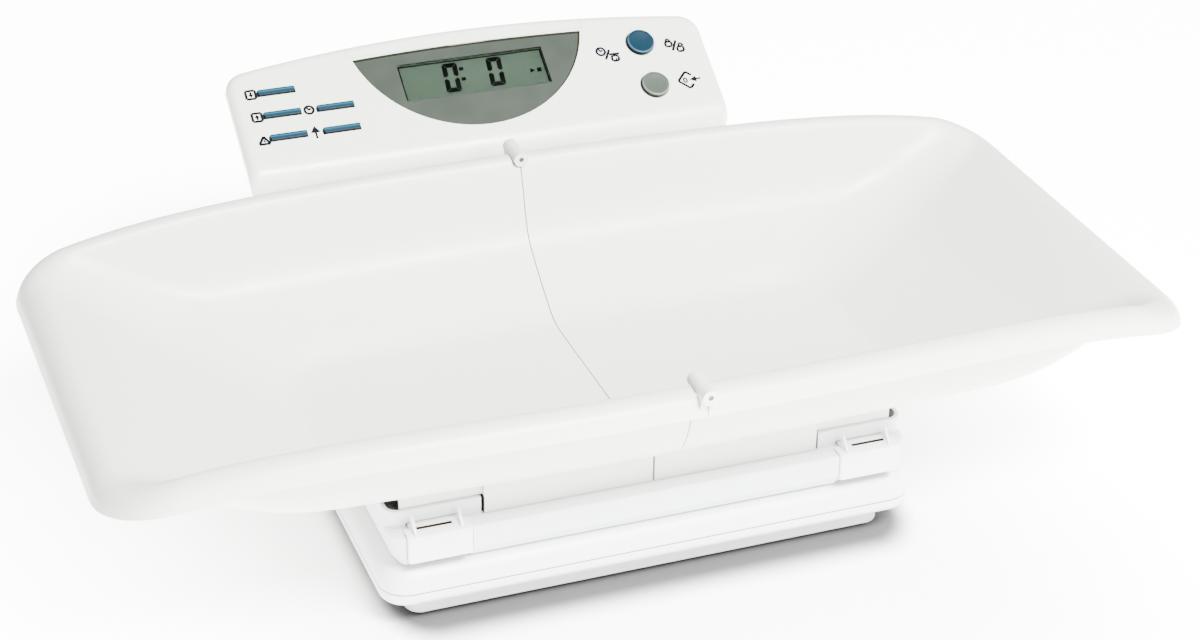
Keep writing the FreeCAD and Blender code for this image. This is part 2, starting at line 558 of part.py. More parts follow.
def console_solid(off):
    poly = offset_poly(PROFILE, off)
    s = prism_x(poly, -CON_X + off, CON_X - off)
    def along_x(p):
        return [e for e in s.Edges if len(e.Vertexes) == 2 and
                all(abs(v.Y - p[0]) < 1e-3 and abs(v.Z - p[1]) < 1e-3 for v in e.Vertexes)]
    rr = [14.0 - off, 6.0, 5.0, 0, 0]
    for p, r in zip(poly, rr):
        if r > 0:
            es = [e for e in s.Edges if len(e.Vertexes) == 2 and
                  all(abs(v.Y - p[0]) < 1e-3 and abs(v.Z - p[1]) < 1e-3 for v in e.Vertexes)]
            s = s.makeFillet(r, es)
    # outline across the face: straight sides, bowed top, rounded top corners
    xs = CON_X - off
    R = TOP_R - off
    sc = TOP_S - TOP_R
    def top_s(x):
        return sc + math.sqrt(R * R - x * x)
    rc = 14.0 - off
    # corner circle tangent to the side and to the bowed top
    cx_ = xs - rc
    cs_ = sc + math.sqrt((R - rc) ** 2 - cx_ * cx_)
    ang = math.atan2(cs_ - sc, cx_)
    p1 = V(xs, cs_, 0)
    p2 = V(cx_ + rc * math.cos(ang), cs_ + rc * math.sin(ang), 0)
    mid_a = ang / 2
    pm = V(cx_ + rc * math.cos(mid_a), cs_ + rc * math.sin(mid_a), 0)
    def mx(v):
        return V(-v.x, v.y, v.z)
    w = Part.Wire([Part.LineSegment(V(-xs, -120, 0), V(xs, -120, 0)).toShape(),
                   Part.LineSegment(V(xs, -120, 0), p1).toShape(),
                   Part.Arc(p1, pm, p2).toShape(),
                   Part.Arc(p2, V(0, top_s(0), 0), mx(p2)).toShape(),
                   Part.Arc(mx(p2), mx(pm), mx(p1)).toShape(),
                   Part.LineSegment(mx(p1), V(-xs, -120, 0)).toShape()])
    o = Part.Face(w).extrude(V(0, 0, 220))
    o.translate(V(0, 0, -180))
    return s.common(face_place(o))


def taper_solid(off):
    """Sides that close in towards the back, as a solid along the slope."""
    deep = 160.0
    w0 = CON_X - off - off * (math.hypot(1, SIDE_TAPER) - 1)
    w1 = w0 - SIDE_TAPER * (deep - SIDE_FLAT)
    w2 = w0 + SIDE_TAPER * (SIDE_FLAT + 10)
    q = [(w2, 10), (w1, -deep), (-w1, -deep), (-w2, 10), (w2, 10)]
    return face_place(Part.Face(Part.makePolygon([V(x, -160, n) for x, n in q])).extrude(V(0, 260, 0)))


def round_rim(shape, depth, radii):
    """Round the rim of the sloping face, which lies at the given depth."""
    def on_face(p):
        return abs(-(p.y - FACE_Y) * SA + (p.z - FACE_Z) * CA + depth) < 1e-2
    es = [e for e in shape.Edges if all(on_face(p) for p in e.discretize(5)) and
          max(p.z for p in e.discretize(5)) > 160.0]
    for r in radii:
        try:
            out = shape.makeFillet(r, es)
            if out.isValid() and len(out.Solids) == 1:
                print("console rim rounded", depth, len(es), r)
                return out
        except Exception as ex:
            print("console rim radius", r, ex)
    print("console rim left sharp", depth)
    return shape


con_out = round_rim(console_solid(0.0), 0.0, (RIM_R, RIM_R - 0.7, RIM_R - 1.5, 5.0)).common(taper_solid(0.0))
con_in = round_rim(console_solid(2.5), 2.5, (RIM_R - 2.5, 4.0, 3.0)).common(taper_solid(2.5))
con_shell = con_out.cut(con_in)
DEPTH = 24.0
half_front = face_place(box(-200, 200, -150, 100, -DEPTH + 0.12, 60))
half_rear = face_place(box(-200, 200, -150, 100, -160, -DEPTH - 0.12))


def moon(off, n0, n1):
    """Outline of the display panel, a circle's segment with a slightly bowed top."""
    r_ = LENS_R - off
    top_e, top_m = LENS_TOP - off, LENS_TOP + LENS_BOW - off
    xe = math.sqrt(r_ * r_ - (LENS_S - top_e) ** 2)
    a, b = V(LENS_X - xe, top_e, n0), V(LENS_X + xe, top_e, n0)
    low = Part.Arc(a, V(LENS_X, LENS_S - r_, n0), b).toShape()
    arc = Part.Arc(b, V(LENS_X, top_m, n0), a).toShape()
    return Part.Face(Part.Wire([low, arc])).extrude(V(0, 0, n1 - n0))


LCD = (-47.8, 46.9, -18.2, 8.9)
BARS = [("button_store", -126.1, 1.2), ("button_recall", -126.1, -15.1), ("button_compare", -126.1, -31.4),
        ("button_clock", -92.8, -15.1), ("button_up", -92.8, -31.4)]
ROUNDS = [("button_hold", 112.0, 1.2), ("button_zero", 112.0, -31.4)]

front = con_shell.common(half_front)
BOSS = [(sx * x, y) for sx in (-1, 1) for x, y in ((136.0, 209.7), (130.0, 243.5))]


def split_z(y):
    return FACE_Z + (-DEPTH + SA * (y - FACE_Y)) / CA


# strip over the display that closes the top of the panel recess
strip_zone = face_place(box(-77.0, 77.0, 18.35, 60.0, -10.0, 20.0))
front_bosses = [cylz(x, y, split_z(y + 5) + 0.6, 190, 3.0 if y < 220 else 3.6).common(con_in) for x, y in BOSS]
front = fuse(front, *front_bosses)
front = cut(front, *[cylz(x, y, 120, split_z(y) + 15, 1.3) for x, y in BOSS])
tools = [moon(0.0, -1.5, 5.0), rbox(-49.6, 49.6, -21.0, 10.8, -6, 2, 1.0)]
for _, x, s_ in BARS:
    tools.append(rbox(x - 11.85, x + 11.85, s_ - 2.35, s_ + 2.35, -6, 4, 0.9))
for _, x, s_ in ROUNDS:
    tools.append(cylz(x, s_, -6, 4, 9.15))
    tools.append(cylz(x, s_, -0.35, 4, 10.0))
front = cut(front, *[face_place(s) for s in tools])
strip = front.common(strip_zone)
front = front.cut(face_place(box(-77.2, 77.2, 18.15, 60.0, -10.0, 20.0)))
put("console_front_shell", front)
put("console_top_strip", strip)

rear = con_shell.common(half_rear)
rear_bosses = [cylz(x, y, CON_Z0 + 1, split_z(y - 5) - 0.6, 4.6).common(con_out) for x, y in BOSS]
door_frame = box(-62, 62, 252.6, 256.0, 112.0, 163.0)
rear = fuse(rear, door_frame.common(face_place(box(-200, 200, -150, 100, -160, -DEPTH - 0.12))), *rear_bosses)
rear = cut(rear, *([cylz(x, y, 109, 160, 1.6) for x, y in BOSS] + [cylz(x, y, 109, 113.5, 3.3) for x, y in BOSS] +
                   [box(-57, 57, 250, 260, 118.6, 158.4), box(-60.3, 60.3, 255.35, 260, 115.7, 161.3),
                    rbox(-70, 70, 196, 224, 108, 114, 5), cyly(112, 134, 250, 260, 4.6)]))
put("console_rear_shell", rear)
put("console_screws", group(*[fuse(cylz(x, y, 111.2, 113.4, 3.0), cylz(x, y, 113.2, split_z(y) + 13, 1.26))
                              for x, y in BOSS]))

# battery door
door = rbox(-60.0, 60.0, 116.0, 161.0, 0, 2.2, 3.0)
door.rotate(V(0, 0, 0), V(1, 0, 0), 90)
door.translate(V(0, 257.9, 0))
door = fuse(door, box(-55, 55, 253.9, 255.9, 120.0, 121.6), box(-55, 55, 253.9, 255.9, 155.2, 156.8))
door = cut(door, *[box(-18, 18, 257.2, 259, z, z + 1.4) for z in (148.0, 151.0, 154.0)])
put("battery_door", door)

# battery holder, cells and contacts
holder = box(-57.5, 57.5, 229.0, 251.8, 113.0, 158.0)
holder = holder.cut(con_shell)
for ix in (-1, 1):
    x0, x1 = sorted((ix * 1.2, ix * 55.5))
    holder = cut(holder, box(x0, x1, 231.0, 253, 114.6, 157.0))
put("battery_holder", holder)
cells, contacts = [], []
for ix in (-1, 1):
    for z, nub_out in ((121.8, True), (135.9, False), (150.0, True)):
        lo, hi = (3.9, 53.3)
        parts_ = [cylx(240.0, z, lo, hi, 6.95),
                  cylx(240.0, z, hi - 0.2, hi + 1.1, 2.7) if nub_out else cylx(240.0, z, lo - 1.1, lo + 0.2, 2.7)]
        cell_ = fuse(*parts_)
        inner = fuse(box(1.3, 2.0, 235, 245, z - 5, z + 5), cylx(240.0, z, 1.9, 3.7 if nub_out else 2.6, 2.4))
        outer = fuse(box(54.7, 55.4, 235, 245, z - 5, z + 5),
                     cylx(240.0, z, 54.5 if nub_out else 53.5, 54.8, 2.4))
        cells.append(cell_ if ix > 0 else mirror_x(cell_))
        contacts += [c if ix > 0 else mirror_x(c) for c in (inner, outer)]
put("battery_cells", group(*cells))
put("battery_contacts", group(*contacts))

# display panel, window, glass and holder frame
panel = moon(0.18, -1.45, -0.75).cut(rbox(LCD[0], LCD[1], LCD[2], LCD[3], -3, 3, 0.8))
put("display_panel", face_place(panel))
put("display_window", face_place(rbox(-49.3, 49.3, -20.7, 10.5, -2.2, -1.55, 0.8)))
put("lcd_glass", face_place(box(-52.0, 52.0, -23.5, 13.0, -5.2, -3.2)))
frame = rbox(-56.0, 56.0, -27.0, 16.0, -9.9, -2.6, 2.0)
frame = cut(frame, box(-52.2, 52.2, -23.7, 13.2, -5.4, -2), rbox(-49.6, 49.6, -21.0, 10.8, -12, 0, 1.0))
put("lcd_frame", face_place(frame))

board = rbox(-130.8, 130.8, -42.0, 17.0, -11.6, -10.0, 2.0)
board = cut(board, *([cylz(x, s_, -13, -9, 1.5) for x, s_ in ((-112, 12), (112, 12), (-70, -38), (70, -38))] +
                     [box(*sorted((sx * 124.0, sx * 140.0)), 6.0, 20.0, -13, -9) for sx in (-1, 1)]))
put("main_board", face_place(board))
put("board_components", face_place(group(
    box(-30, -12, -34, -16, -14.2, -11.6), box(6, 16, -30, -24, -13.4, -11.6), box(30, 40, -36, -22, -14.6, -11.6),
    box(60, 66, -6, 2, -15.2, -11.6), cylz(88, -10, -20.0, -11.6, 4.0), cylz(100, -10, -18.0, -11.6, 3.2),
    box(-96, -84, 2, 10, -16.5, -11.6), box(-35, -25, -42, -37, -16.0, -11.6))))
put("beeper", face_place(cut(cylz(70, -18, -17.5, -11.6, 7.0), cylz(70, -18, -18, -16.5, 1.2))))
sw = []
for _, x, s_ in BARS + ROUNDS:
    sw.append(fuse(box(x - 3, x + 3, s_ - 3, s_ + 3, -10.0, -6.6), cylz(x, s_, -6.8, -5.7, 1.7)))
put("tact_switches", face_place(group(*sw)))

for name, x, s_ in BARS:
    cap = rbox(x - 11.5, x + 11.5, s_ - 2.0, s_ + 2.0, -3.0, 1.6, 0.8, rt=0.5)
    fl = rbox(x - 13.2, x + 13.2, s_ - 3.4, s_ + 3.4, -3.7, -2.85, 1.0)
    put(name, face_place(fuse(cap, fl, cylz(x, s_, -4.3, -3.3, 1.9))))
for name, x, s_ in ROUNDS:
    cap = cylz(x, s_, -3.0, 2.2, 8.8)
    cap = cap.makeFillet(0.7, edges_at_z(cap, 2.2))
    cap = cap.cut(Part.makeSphere(50.0, V(x, s_, 51.75)))
    put(name, face_place(fuse(cap, cylz(x, s_, -3.7, -2.85, 10.8), cylz(x, s_, -4.3, -3.3, 2.4))))

# power jack
jack = fuse(box(106.5, 117.5, 243.0, 255.2, 128.5, 139.5), cyly(112, 134, 255.0, 257.9, 4.4))
jack = fuse(jack.cut(cyly(112, 134, 248.0, 259.0, 3.2)), cyly(112, 134, 247.0, 256.5, 1.0))
put("power_jack", jack)

# signal lead from the load cell to the main board, clipped inside the case
LEAD_R, BEND = 1.6, 14.0
lx, lz, ly, ztop = -30.0, 14.0, 202.0, 140.0
a0 = V(lx, 17.0, lz)
a1 = V(lx, ly - BEND, lz)
am = V(lx, ly - BEND + BEND * math.sin(math.pi / 4), lz + BEND * (1 - math.cos(math.pi / 4)))
a2 = V(lx, ly, lz + BEND)
a3 = V(lx, ly, ztop)
path = Part.Wire([Part.LineSegment(a0, a1).toShape(), Part.Arc(a1, am, a2).toShape(),
                  Part.LineSegment(a2, a3).toShape()])
prof = Part.Wire([Part.Circle(a0, V(0, 1, 0), LEAD_R).toShape()])
lead = path.makePipeShell([prof], True, False)
print("lead volume", round(lead.Volume, 1), "expected", round(math.pi * LEAD_R ** 2 * path.Length, 1))
put("signal_lead", lead)

# ---------------------------------------------------------------- export
for name, shape in parts.items():
    bb = shape.optimalBoundingBox(True, False)
    print("%-24s valid=%s solids=%d vol=%.0f  x %.1f..%.1f y %.1f..%.1f z %.1f..%.1f" % (
        name, shape.isValid(), len(shape.Solids), shape.Volume, bb.XMin, bb.XMax, bb.YMin, bb.YMax, bb.ZMin, bb.ZMax))
    shape.exportStep("parts/%s.step" % name)
print(len(parts), "parts")
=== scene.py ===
import bpy
import bmesh
import json
import math
from mathutils import Vector, Matrix


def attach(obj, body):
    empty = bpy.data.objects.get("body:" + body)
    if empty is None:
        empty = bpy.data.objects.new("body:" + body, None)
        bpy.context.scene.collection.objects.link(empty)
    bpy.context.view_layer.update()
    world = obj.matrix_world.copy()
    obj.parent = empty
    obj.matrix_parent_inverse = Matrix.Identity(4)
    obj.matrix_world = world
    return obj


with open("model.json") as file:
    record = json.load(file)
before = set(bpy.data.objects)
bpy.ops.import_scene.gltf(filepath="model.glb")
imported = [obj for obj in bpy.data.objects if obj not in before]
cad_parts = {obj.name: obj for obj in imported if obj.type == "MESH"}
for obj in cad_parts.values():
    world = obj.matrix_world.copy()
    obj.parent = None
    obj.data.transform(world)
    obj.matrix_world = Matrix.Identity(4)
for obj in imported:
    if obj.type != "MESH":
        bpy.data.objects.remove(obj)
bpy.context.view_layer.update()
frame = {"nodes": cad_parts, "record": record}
N = frame["nodes"]

# ------------------------------------------------------------------ camera
right = Vector((0.9356, -0.3526, 0.0171))
down = Vector((-0.1583, -0.4624, -0.8724))
fwd = Vector((0.3155, 0.8135, -0.4885))
right.normalize()
fwd = (fwd - right * fwd.dot(right)).normalized()
down = fwd.cross(right).normalized()
cam_d = bpy.data.cameras.new("camera")
cam = bpy.data.objects.new("camera", cam_d)
bpy.context.scene.collection.objects.link(cam)
rot = Matrix((right, -down, -fwd)).transposed()
cam.matrix_world = Matrix.Translation(Vector((-0.46897, -1.2585, 0.84145))) @ rot.to_4x4()
cam_d.sensor_fit = "HORIZONTAL"
cam_d.sensor_width = 36.0
cam_d.lens = 78.9
cam_d.clip_start = 0.05
cam_d.clip_end = 60.0
bpy.context.scene.camera = cam

FA = math.radians(32.88)
CA, SA = math.cos(FA), math.sin(FA)

# ------------------------------------------------------------------ materials


def new_mat(name):
    m = bpy.data.materials.new(name)
    m.use_nodes = True
    nt = m.node_tree
    nt.nodes.clear()
    out = nt.nodes.new("ShaderNodeOutputMaterial")
    bs = nt.nodes.new("ShaderNodeBsdfPrincipled")
    nt.links.new(bs.outputs[0], out.inputs[0])
    return m, nt, bs


def coords(nt, scale=(1, 1, 1)):
    tc = nt.nodes.new("ShaderNodeTexCoord")
    mp = nt.nodes.new("ShaderNodeMapping")
    mp.inputs["Scale"].default_value = scale
    nt.links.new(tc.outputs["Object"], mp.inputs[0])
    return mp.outputs[0]


def noise(nt, vec, scale, detail=3.0, rough=0.5):
    n = nt.nodes.new("ShaderNodeTexNoise")
    n.inputs["Scale"].default_value = scale
    n.inputs["Detail"].default_value = detail
    n.inputs["Roughness"].default_value = rough
    nt.links.new(vec, n.inputs["Vector"])
    return n.outputs[0]


def mix_col(nt, fac, a, b):
    m = nt.nodes.new("ShaderNodeMix")
    m.data_type = "RGBA"
    m.inputs[6].default_value = (*a, 1)
    m.inputs[7].default_value = (*b, 1)
    nt.links.new(fac, m.inputs[0])
    return m.outputs[2]


def to_range(nt, val, lo, hi, a=0.35, b=0.65):
    r = nt.nodes.new("ShaderNodeMapRange")
    r.inputs[1].default_value = a
    r.inputs[2].default_value = b
    r.inputs[3].default_value = lo
    r.inputs[4].default_value = hi
    nt.links.new(val, r.inputs[0])
    return r.outputs[0]


def bump(nt, height, strength, dist, bs, chain=None):
    b = nt.nodes.new("ShaderNodeBump")
    b.inputs["Strength"].default_value = strength
    b.inputs["Distance"].default_value = dist
    nt.links.new(height, b.inputs["Height"])
    if chain is not None:
        nt.links.new(chain, b.inputs["Normal"])
    nt.links.new(b.outputs[0], bs.inputs["Normal"])
    return b.outputs[0]


def plastic(name, col, col2, rough=0.35, spread=0.05, grain=900.0, grain_h=0.00002, grain_s=0.25,
            ripple=0.0, spec=0.5, coat=0.0, sss=0.0):
    m, nt, bs = new_mat(name)
    v = coords(nt)
    broad = noise(nt, v, 5.0, 3.0)
    nt.links.new(mix_col(nt, to_range(nt, broad, 0.0, 1.0), col, col2), bs.inputs["Base Color"])
    mid = noise(nt, v, 60.0, 4.0)
    nt.links.new(to_range(nt, mid, rough - spread, rough + spread), bs.inputs["Roughness"])
    fine = noise(nt, v, grain, 2.0)
    ch = bump(nt, fine, grain_s, grain_h, bs)
    if ripple:
        bump(nt, noise(nt, v, 9.0, 2.0), ripple, 0.002, bs, ch)
    bs.inputs["Specular IOR Level"].default_value = spec
    if coat:
        bs.inputs["Coat Weight"].default_value = coat
        bs.inputs["Coat Roughness"].default_value = 0.12
    if sss:
        bs.inputs["Subsurface Weight"].default_value = sss
        bs.inputs["Subsurface Radius"].default_value = (0.004, 0.004, 0.0035)
        bs.inputs["Subsurface Scale"].default_value = 1.0
    return m


def calc(nt, op, a, b):
    m = nt.nodes.new("ShaderNodeMath")
    m.operation = op
    for k, q in ((0, a), (1, b)):
        if isinstance(q, (int, float)):
            m.inputs[k].default_value = q
        else:
            nt.links.new(q, m.inputs[k])
    return m.outputs[0]


def along(nt, v, axis, start):
    """Distance from a point along an axis, in the row's metres."""
    d = nt.nodes.new("ShaderNodeVectorMath")
    d.operation = "DOT_PRODUCT"
    nt.links.new(v, d.inputs[0])
    d.inputs[1].default_value = axis
    return calc(nt, "SUBTRACT", d.outputs["Value"], sum(a * b for a, b in zip(axis, start)))


def shade_recess(m, dark, x_low, x_high, s_low, s_high, n_low, n_high):
    """Darken a plastic inside a recess of the sloping face: painted shade on the recess walls."""
    nt = m.node_tree
    bs = next(n for n in nt.nodes if n.type == "BSDF_PRINCIPLED")
    old = bs.inputs["Base Color"].links[0].from_socket
    v = coords(nt)
    deep = along(nt, v, (0.0, -SA, CA), (0.0, 0.1771, 0.1765))
    up = along(nt, v, (0.0, CA, SA), (0.0, 0.1771, 0.1765))
    side = along(nt, v, (1.0, 0.0, 0.0), (0.0, 0.0, 0.0))
    r = to_range(nt, deep, 1.0, 0.0, n_low, n_high)
    r = calc(nt, "MULTIPLY", r, calc(nt, "LESS_THAN", side, x_high))
    r = calc(nt, "MULTIPLY", r, calc(nt, "GREATER_THAN", side, x_low))
    r = calc(nt, "MULTIPLY", r, calc(nt, "LESS_THAN", up, s_high))
    r = calc(nt, "MULTIPLY", r, calc(nt, "GREATER_THAN", up, s_low))
    r = calc(nt, "MULTIPLY", r, calc(nt, "GREATER_THAN", deep, -0.0065))
    mx = nt.nodes.new("ShaderNodeMix")
    mx.data_type = "RGBA"
    nt.links.new(r, mx.inputs[0])
    nt.links.new(old, mx.inputs[6])
    mx.inputs[7].default_value = (*dark, 1)
    nt.links.new(mx.outputs[2], bs.inputs["Base Color"])


def shade_rects(m, dark, rects, soft=0.0001):
    """Darken a plastic inside rectangles of the sloping face, at any depth: painted shade."""
    nt = m.node_tree
    bs = next(n for n in nt.nodes if n.type == "BSDF_PRINCIPLED")
    v = coords(nt)
    up = along(nt, v, (0.0, CA, SA), (0.0, 0.1771, 0.1765))
    side = along(nt, v, (1.0, 0.0, 0.0), (0.0, 0.0, 0.0))
    front = calc(nt, "GREATER_THAN", along(nt, v, (0.0, -SA, CA), (0.0, 0.1771, 0.1765)), -0.004)
    total = None
    for x0, x1, s0, s1 in rects:
        r = None
        for q, lo, hi in ((side, x0, x1), (up, s0, s1)):
            for e0, e1 in ((lo, lo + soft), (hi, hi - soft)):
                g = to_range(nt, q, 0.0 if e0 < e1 else 1.0, 1.0 if e0 < e1 else 0.0, min(e0, e1), max(e0, e1))
                r = g if r is None else calc(nt, "MULTIPLY", r, g)
        total = r if total is None else calc(nt, "MAXIMUM", total, r)
    total = calc(nt, "MULTIPLY", total, front)
    old = bs.inputs["Base Color"].links[0].from_socket
    mx = nt.nodes.new("ShaderNodeMix")
    mx.data_type = "RGBA"
    nt.links.new(total, mx.inputs[0])
    nt.links.new(old, mx.inputs[6])
    mx.inputs[7].default_value = (*dark, 1)
    nt.links.new(mx.outputs[2], bs.inputs["Base Color"])


def shade_crescent(m, dark, cx, cs, r0, r1, n_low, n_high):
    """Darken a crescent to the lower left of a round cap of the sloping face: painted shadow."""
    nt = m.node_tree
    bs = next(n for n in nt.nodes if n.type == "BSDF_PRINCIPLED")
    old = bs.inputs["Base Color"].links[0].from_socket
    v = coords(nt)
    deep = along(nt, v, (0.0, -SA, CA), (0.0, 0.1771, 0.1765))
    dx = along(nt, v, (1.0, 0.0, 0.0), (cx, 0.0, 0.0))
    ds = calc(nt, "SUBTRACT", along(nt, v, (0.0, CA, SA), (0.0, 0.1771, 0.1765)), cs)
    r = calc(nt, "SQRT", calc(nt, "ADD", calc(nt, "MULTIPLY", dx, dx), calc(nt, "MULTIPLY", ds, ds)), 0.0)
    f = calc(nt, "MULTIPLY", to_range(nt, r, 0.0, 1.0, r0 - 0.0001, r0), to_range(nt, r, 1.0, 0.0, r1, r1 + 0.0003))
    a = calc(nt, "ADD", calc(nt, "MULTIPLY", dx, 0.94), calc(nt, "MULTIPLY", ds, 0.34))
    f = calc(nt, "MULTIPLY", f, to_range(nt, a, 1.0, 0.0, -0.0045, 0.001))
    f = calc(nt, "MULTIPLY", f, to_range(nt, deep, 0.0, 1.0, n_low - 0.0001, n_low))
    f = calc(nt, "MULTIPLY", f, to_range(nt, deep, 1.0, 0.0, n_high, n_high + 0.0001))
    mx = nt.nodes.new("ShaderNodeMix")
    mx.data_type = "RGBA"
    nt.links.new(f, mx.inputs[0])
    nt.links.new(old, mx.inputs[6])
    mx.inputs[7].default_value = (*dark, 1)
    nt.links.new(mx.outputs[2], bs.inputs["Base Color"])


def bar_painted_light(m):
    """A painted highlight strip along the middle of the bars and painted shade on the long edges."""
    nt = m.node_tree
    bs = next(n for n in nt.nodes if n.type == "BSDF_PRINCIPLED")
    old = bs.inputs["Base Color"].links[0].from_socket
    v = coords(nt)
    up = along(nt, v, (0.0, CA, SA), (0.0, 0.1771, 0.1765))
    q = calc(nt, "SUBTRACT", calc(nt, "MODULO", calc(nt, "ADD", up, 0.0314 + 0.0163 + 0.00815), 0.0163), 0.00815)
    # painted highlight colour for the middle strip, then painted shade for the lower and the upper edge
    for col, lo, hi, soft in (((0.020, 0.066, 0.098), 0.0001, 0.0009, 0.0003), ((0.0015, 0.0065, 0.012), -0.0026, -0.0013, 0.0003),
                              ((0.0022, 0.012, 0.021), 0.0015, 0.0028, 0.0003)):
        f = calc(nt, "MULTIPLY", to_range(nt, q, 0.0, 1.0, lo - soft, lo + soft), to_range(nt, q, 1.0, 0.0, hi - soft, hi + soft))
        mx = nt.nodes.new("ShaderNodeMix")
        mx.data_type = "RGBA"
        nt.links.new(f, mx.inputs[0])
        nt.links.new(old, mx.inputs[6])
        mx.inputs[7].default_value = (*col, 1)
        old = mx.outputs[2]
    nt.links.new(old, bs.inputs["Base Color"])


def cap_rim_painted_highlight(m, col, cx, cs, r0, r1, n0):
    """A painted highlight: a lighter line on the lower rim of a round cap of the sloping face."""
    nt = m.node_tree
    bs = next(n for n in nt.nodes if n.type == "BSDF_PRINCIPLED")
    old = bs.inputs["Base Color"].links[0].from_socket
    v = coords(nt)
    deep = along(nt, v, (0.0, -SA, CA), (0.0, 0.1771, 0.1765))
    dx = along(nt, v, (1.0, 0.0, 0.0), (cx, 0.0, 0.0))
    ds = calc(nt, "SUBTRACT", along(nt, v, (0.0, CA, SA), (0.0, 0.1771, 0.1765)), cs)
    r = calc(nt, "SQRT", calc(nt, "ADD", calc(nt, "MULTIPLY", dx, dx), calc(nt, "MULTIPLY", ds, ds)), 0.0)
    f = calc(nt, "MULTIPLY", to_range(nt, r, 0.0, 1.0, r0, r0 + 0.00025), to_range(nt, deep, 0.0, 1.0, n0, n0 + 0.0002))
    f = calc(nt, "MULTIPLY", f, to_range(nt, r, 1.0, 0.0, r1 - 0.0002, r1))
    f = calc(nt, "MULTIPLY", f, to_range(nt, calc(nt, "ADD", ds, calc(nt, "MULTIPLY", dx, 0.35)), 1.0, 0.0, -0.003, 0.003))
    mx = nt.nodes.new("ShaderNodeMix")
    mx.data_type = "RGBA"
    nt.links.new(f, mx.inputs[0])
    nt.links.new(old, mx.inputs[6])
    mx.inputs[7].default_value = (*col, 1)
    nt.links.new(mx.outputs[2], bs.inputs["Base Color"])


def shade_box(m, dark, boxes, soft=0.0002):
    """Darken a plastic inside some boxes of the row, mirrored left to right: painted shade."""
    nt = m.node_tree
    bs = next(n for n in nt.nodes if n.type == "BSDF_PRINCIPLED")
    v = coords(nt)
    ax = [calc(nt, "ABSOLUTE", along(nt, v, (1.0, 0.0, 0.0), (0.0, 0.0, 0.0)), 0.0),
          along(nt, v, (0.0, 1.0, 0.0), (0.0, 0.0, 0.0)), along(nt, v, (0.0, 0.0, 1.0), (0.0, 0.0, 0.0))]
    total = None
    for bx in boxes:
        r = None
        for q, (lo, hi) in zip(ax, bx):
            a = to_range(nt, q, 0.0, 1.0, lo, lo + soft)
            b = to_range(nt, q, 1.0, 0.0, hi - soft, hi)
            ab = calc(nt, "MULTIPLY", a, b)
            r = ab if r is None else calc(nt, "MULTIPLY", r, ab)
        total = r if total is None else calc(nt, "MAXIMUM", total, r)
    old = bs.inputs["Base Color"].links[0].from_socket
    mx = nt.nodes.new("ShaderNodeMix")
    mx.data_type = "RGBA"
    nt.links.new(total, mx.inputs[0])
    nt.links.new(old, mx.inputs[6])
    mx.inputs[7].default_value = (*dark, 1)
    nt.links.new(mx.outputs[2], bs.inputs["Base Color"])


def metal(name, col, rough, brush=(1, 1, 1), scale=400.0):
    m, nt, bs = new_mat(name)
    v = coords(nt, brush)
    n = noise(nt, v, scale, 4.0)
    nt.links.new(mix_col(nt, to_range(nt, n, 0, 1), col, tuple(c * 0.86 for c in col)), bs.inputs["Base Color"])
    nt.links.new(to_range(nt, n, rough - 0.06, rough + 0.08), bs.inputs["Roughness"])
    bump(nt, n, 0.2, 0.00003, bs)
    bs.inputs["Metallic"].default_value = 1.0
    return m


def rubber(name, col):
    m, nt, bs = new_mat(name)
    v = coords(nt)
    n = noise(nt, v, 1400.0, 3.0)
    w = noise(nt, v, 70.0, 3.0)
    nt.links.new(mix_col(nt, to_range(nt, w, 0, 1), col, tuple(c * 1.5 for c in col)), bs.inputs["Base Color"])
    nt.links.new(to_range(nt, w, 0.62, 0.8), bs.inputs["Roughness"])
    bump(nt, n, 0.5, 0.00008, bs)
    return m


M = {}
M["tray_plastic"] = plastic("tray_plastic", (0.665, 0.69, 0.615), (0.648, 0.672, 0.60), rough=0.38, spread=0.03,
                            grain=500.0, grain_h=0.00001, grain_s=0.12, ripple=0.02, spec=0.35)
M["white_plastic"] = plastic("white_plastic", (0.73, 0.745, 0.74), (0.71, 0.728, 0.724), rough=0.36, spread=0.04,
                             grain=1500.0, grain_h=0.00003, grain_s=0.3)
# painted shade: a dark slit beside each end of the tray's apron, where the gap behind is in shade
shade_box(M["tray_plastic"], (0.03, 0.022, 0.018), [((0.0976, 0.1004), (-0.1362, -0.1290), (0.0545, 0.0704))])
M["base_plastic"] = plastic("base_plastic", (0.70, 0.717, 0.714), (0.685, 0.703, 0.70), rough=0.36, spread=0.04,
                            grain=1500.0, grain_h=0.00003, grain_s=0.3)
# painted shade along the seam between the base's top cover and bottom pan
shade_box(M["base_plastic"], (0.10, 0.105, 0.10), [((-0.001, 0.2), (-0.2, 0.2), (0.0239, 0.0247))], 0.0002)
M["console_plastic"] = plastic("console_plastic", (0.70, 0.715, 0.625), (0.685, 0.70, 0.613), rough=0.34, spread=0.04,
                               grain=1600.0, grain_h=0.00003, grain_s=0.3)
# painted shade on the recess walls round the lens panel, the bar buttons and the round buttons
shade_recess(M["console_plastic"], (0.02, 0.022, 0.015), -0.079, 0.079, -0.046, 0.0183, -0.00035, -0.0001)
shade_recess(M["console_plastic"], (0.012, 0.016, 0.018), -0.1385, -0.086, -0.0345, 0.0045, -0.0006, -0.0003)
shade_recess(M["console_plastic"], (0.02, 0.024, 0.026), 0.1027, 0.1213, -0.0412, 0.0105, -0.0012, -0.0008)
BARS = ((-126.1, 1.2), (-126.1, -15.1), (-126.1, -31.4), (-92.8, -15.1), (-92.8, -31.4))
